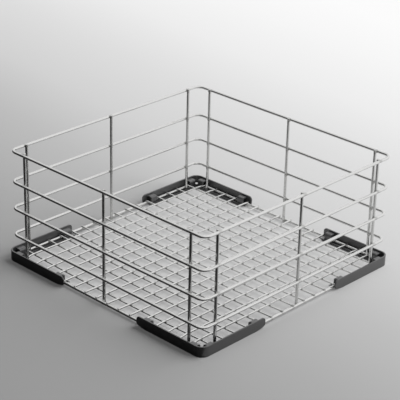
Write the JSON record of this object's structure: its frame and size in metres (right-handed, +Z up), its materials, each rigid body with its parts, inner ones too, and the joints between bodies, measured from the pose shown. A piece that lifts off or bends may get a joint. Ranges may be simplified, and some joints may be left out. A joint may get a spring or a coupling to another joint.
{
  "type": "pull-out wire glass basket",
  "caption": "Square open-topped wire basket with a fine wire floor, side hoops and uprights, sliding on black moulded corner glides.",
  "frame": {"origin": "on the surface that the glides rest on, under the middle of the basket", "axes": "+Z up out of the open top; -Y the front, towards which the basket is pulled out; +X to the right; the lower floor wires run along X"},
  "size_m": [0.5, 0.5, 0.2203],
  "materials": {
    "wire": "bright, electropolished",
    "glide_plastic": "fine satin moulding"
  },
  "bodies": {
    "root": {"rim_wire": "wire", "upper_hoop": "wire", "middle_hoop": "wire", "lower_hoop": "wire", "floor_frame_wire": "wire", "upright_front_1": "wire", "upright_front_2": "wire", "upright_front_3": "wire", "upright_right_1": "wire", "upright_right_2": "wire", "upright_right_3": "wire", "upright_back_1": "wire", "upright_back_2": "wire", "upright_back_3": "wire", "upright_left_1": "wire", "upright_left_2": "wire", "upright_left_3": "wire", "floor_wire_lower_01": "wire", "floor_wire_lower_02": "wire", "floor_wire_lower_03": "wire", "floor_wire_lower_04": "wire", "floor_wire_lower_05": "wire", "floor_wire_lower_06": "wire", "floor_wire_lower_07": "wire", "floor_wire_lower_08": "wire", "floor_wire_lower_09": "wire", "floor_wire_lower_10": "wire", "floor_wire_lower_11": "wire", "floor_wire_lower_12": "wire", "floor_wire_lower_13": "wire", "floor_wire_lower_14": "wire", "floor_wire_lower_15": "wire", "floor_wire_lower_16": "wire", "floor_wire_upper_01": "wire", "floor_wire_upper_02": "wire", "floor_wire_upper_03": "wire", "floor_wire_upper_04": "wire", "floor_wire_upper_05": "wire", "floor_wire_upper_06": "wire", "floor_wire_upper_07": "wire", "floor_wire_upper_08": "wire", "floor_wire_upper_09": "wire", "floor_wire_upper_10": "wire", "floor_wire_upper_11": "wire", "floor_wire_upper_12": "wire", "floor_wire_upper_13": "wire", "floor_wire_upper_14": "wire", "floor_wire_upper_15": "wire", "floor_wire_upper_16": "wire", "corner_glide_front_left": "glide_plastic", "corner_glide_front_right": "glide_plastic", "corner_glide_back_right": "glide_plastic", "corner_glide_back_left": "glide_plastic"}
  },
  "joints": []
}
